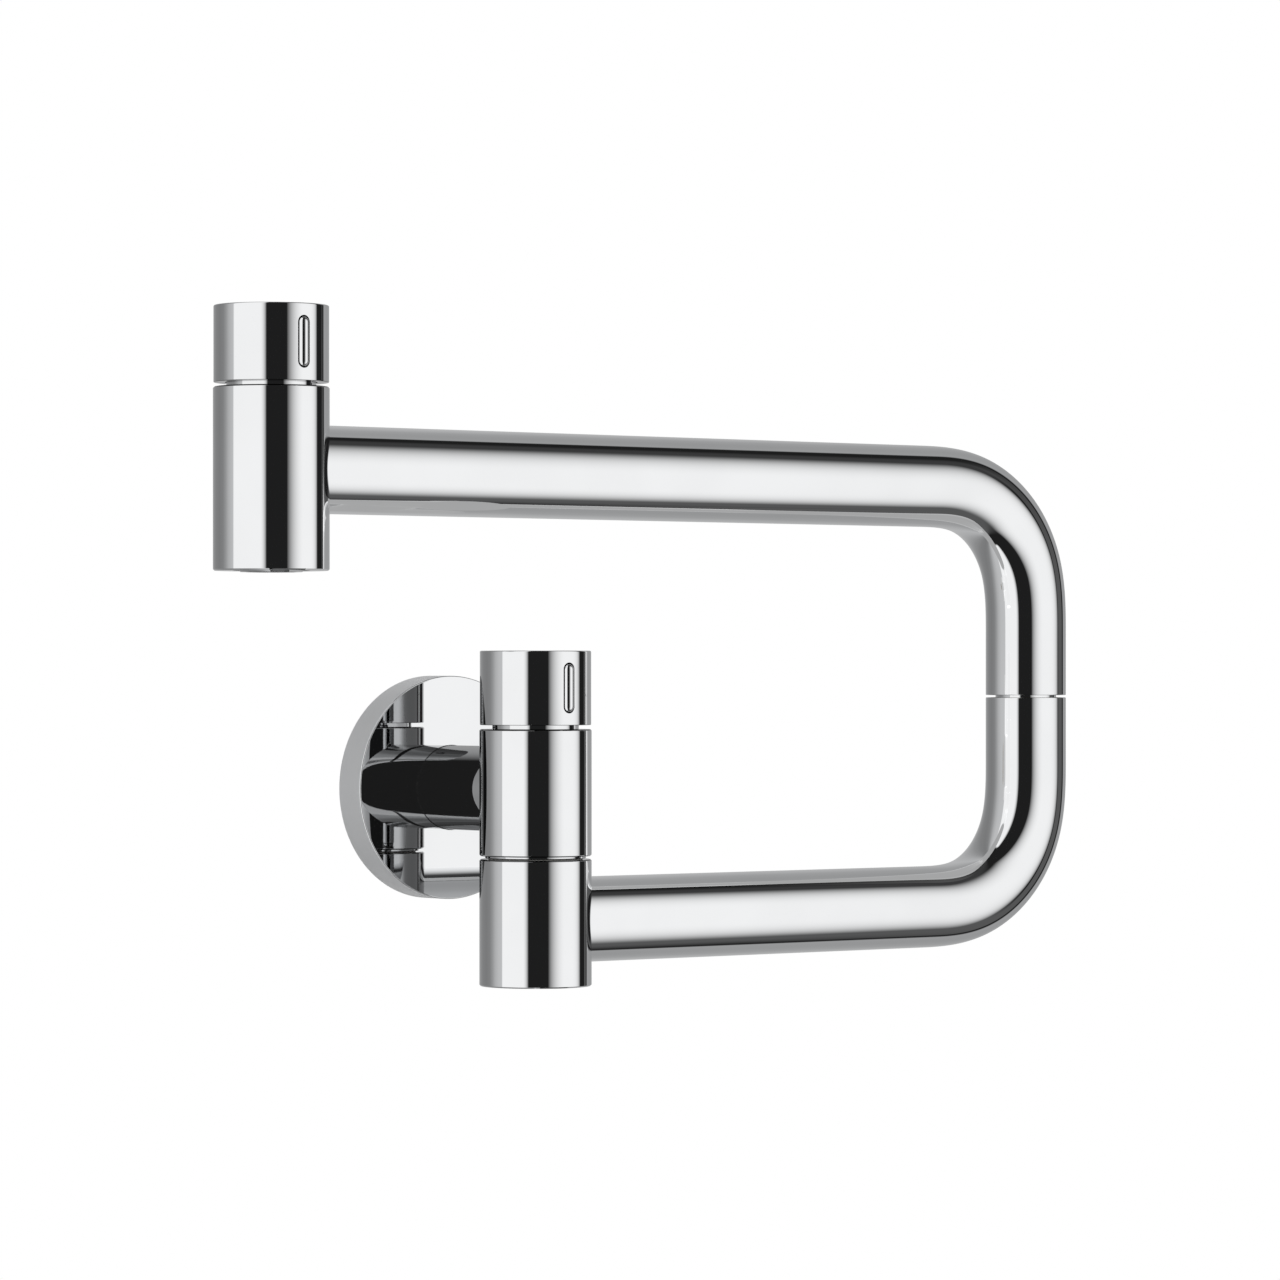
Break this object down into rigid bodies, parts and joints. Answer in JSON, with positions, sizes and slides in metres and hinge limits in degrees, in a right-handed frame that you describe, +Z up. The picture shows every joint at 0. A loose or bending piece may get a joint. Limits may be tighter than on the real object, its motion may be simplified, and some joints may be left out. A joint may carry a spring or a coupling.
{
  "type": "pot filler",
  "caption": "Wall-mounted chrome pot filler: a folding double-jointed arm of bent tube with a quarter-turn valve at the wall and another over the outlet.",
  "frame": {"origin": "centre of the wall flange's back, on the wall plane, on the axis of the inlet thread", "axes": "+X to the right along the wall, +Y into the wall along the inlet, +Z up"},
  "size_m": [0.3314, 0.0873, 0.2049],
  "materials": {
    "polished_chrome": "mirror polished chrome plate",
    "bare_brass": "turned, unplated",
    "spring_steel": "bright stainless",
    "black_rubber": "smooth moulded",
    "bearing_plastic": "natural white, moulded",
    "jet_plastic": "grey, moulded",
    "disc_ceramic": "lapped alumina"
  },
  "bodies": {
    "wall_unit": {"wall_flange": "polished_chrome", "flange_gasket": "black_rubber", "flange_o_ring": "black_rubber", "inlet_nipple": "bare_brass", "nipple_o_ring": "black_rubber", "connecting_stem": "polished_chrome", "inlet_strainer": "spring_steel", "stem_screw": "spring_steel", "valve_body": "polished_chrome", "swivel_spindle": "bare_brass", "swivel_o_rings": "black_rubber", "swivel_washer": "spring_steel", "swivel_circlip": "spring_steel", "wall_cartridge_body": "bare_brass", "wall_cartridge_sleeve": "polished_chrome", "wall_fixed_disc": "disc_ceramic", "wall_seat_seal": "black_rubber"},
    "wall_handle_unit": {"wall_handle": "polished_chrome", "wall_handle_grip": "polished_chrome", "wall_handle_adapter": "bearing_plastic", "wall_handle_screw": "spring_steel", "wall_cartridge_spindle": "bare_brass", "wall_spindle_o_ring": "black_rubber", "wall_turning_disc": "disc_ceramic"},
    "lower_arm": {"lower_hub": "polished_chrome", "hub_bush": "bearing_plastic", "hub_cap": "polished_chrome", "hub_cap_o_ring": "black_rubber", "lower_arm_tube": "polished_chrome", "joint_socket": "bare_brass", "joint_glide_ring": "bearing_plastic"},
    "upper_arm": {"upper_arm_tube": "polished_chrome", "joint_spindle": "polished_chrome", "joint_o_rings": "black_rubber", "joint_circlip": "spring_steel", "outlet_body": "polished_chrome", "aerator_housing": "polished_chrome", "aerator_insert": "jet_plastic", "aerator_screen": "spring_steel", "aerator_gasket": "black_rubber", "outlet_cartridge_body": "bare_brass", "outlet_cartridge_sleeve": "polished_chrome", "outlet_fixed_disc": "disc_ceramic", "outlet_seat_seal": "black_rubber"},
    "outlet_handle_unit": {"outlet_handle": "polished_chrome", "outlet_handle_grip": "polished_chrome", "outlet_handle_adapter": "bearing_plastic", "outlet_handle_screw": "spring_steel", "outlet_cartridge_spindle": "bare_brass", "outlet_spindle_o_ring": "black_rubber", "outlet_turning_disc": "disc_ceramic"}
  },
  "joints": [
    {"name": "lower_arm_swivel", "type": "hinge", "parent": "wall_unit", "child": "lower_arm", "pos_m": [0, -0.055, 0], "axis": [0, 0, 1], "range_deg": [-180, 0]},
    {"name": "elbow_swivel", "type": "hinge", "parent": "lower_arm", "child": "upper_arm", "pos_m": [0.203, -0.055, 0], "axis": [0, 0, 1], "range_deg": [-180, 180]},
    {"name": "wall_valve_turn", "type": "hinge", "parent": "wall_unit", "child": "wall_handle_unit", "pos_m": [0, -0.055, 0], "axis": [0, 0, 1], "range_deg": [0, 90]},
    {"name": "outlet_valve_turn", "type": "hinge", "parent": "upper_arm", "child": "outlet_handle_unit", "pos_m": [-0.098, -0.055, 0], "axis": [0, 0, 1], "range_deg": [0, 90]}
  ]
}
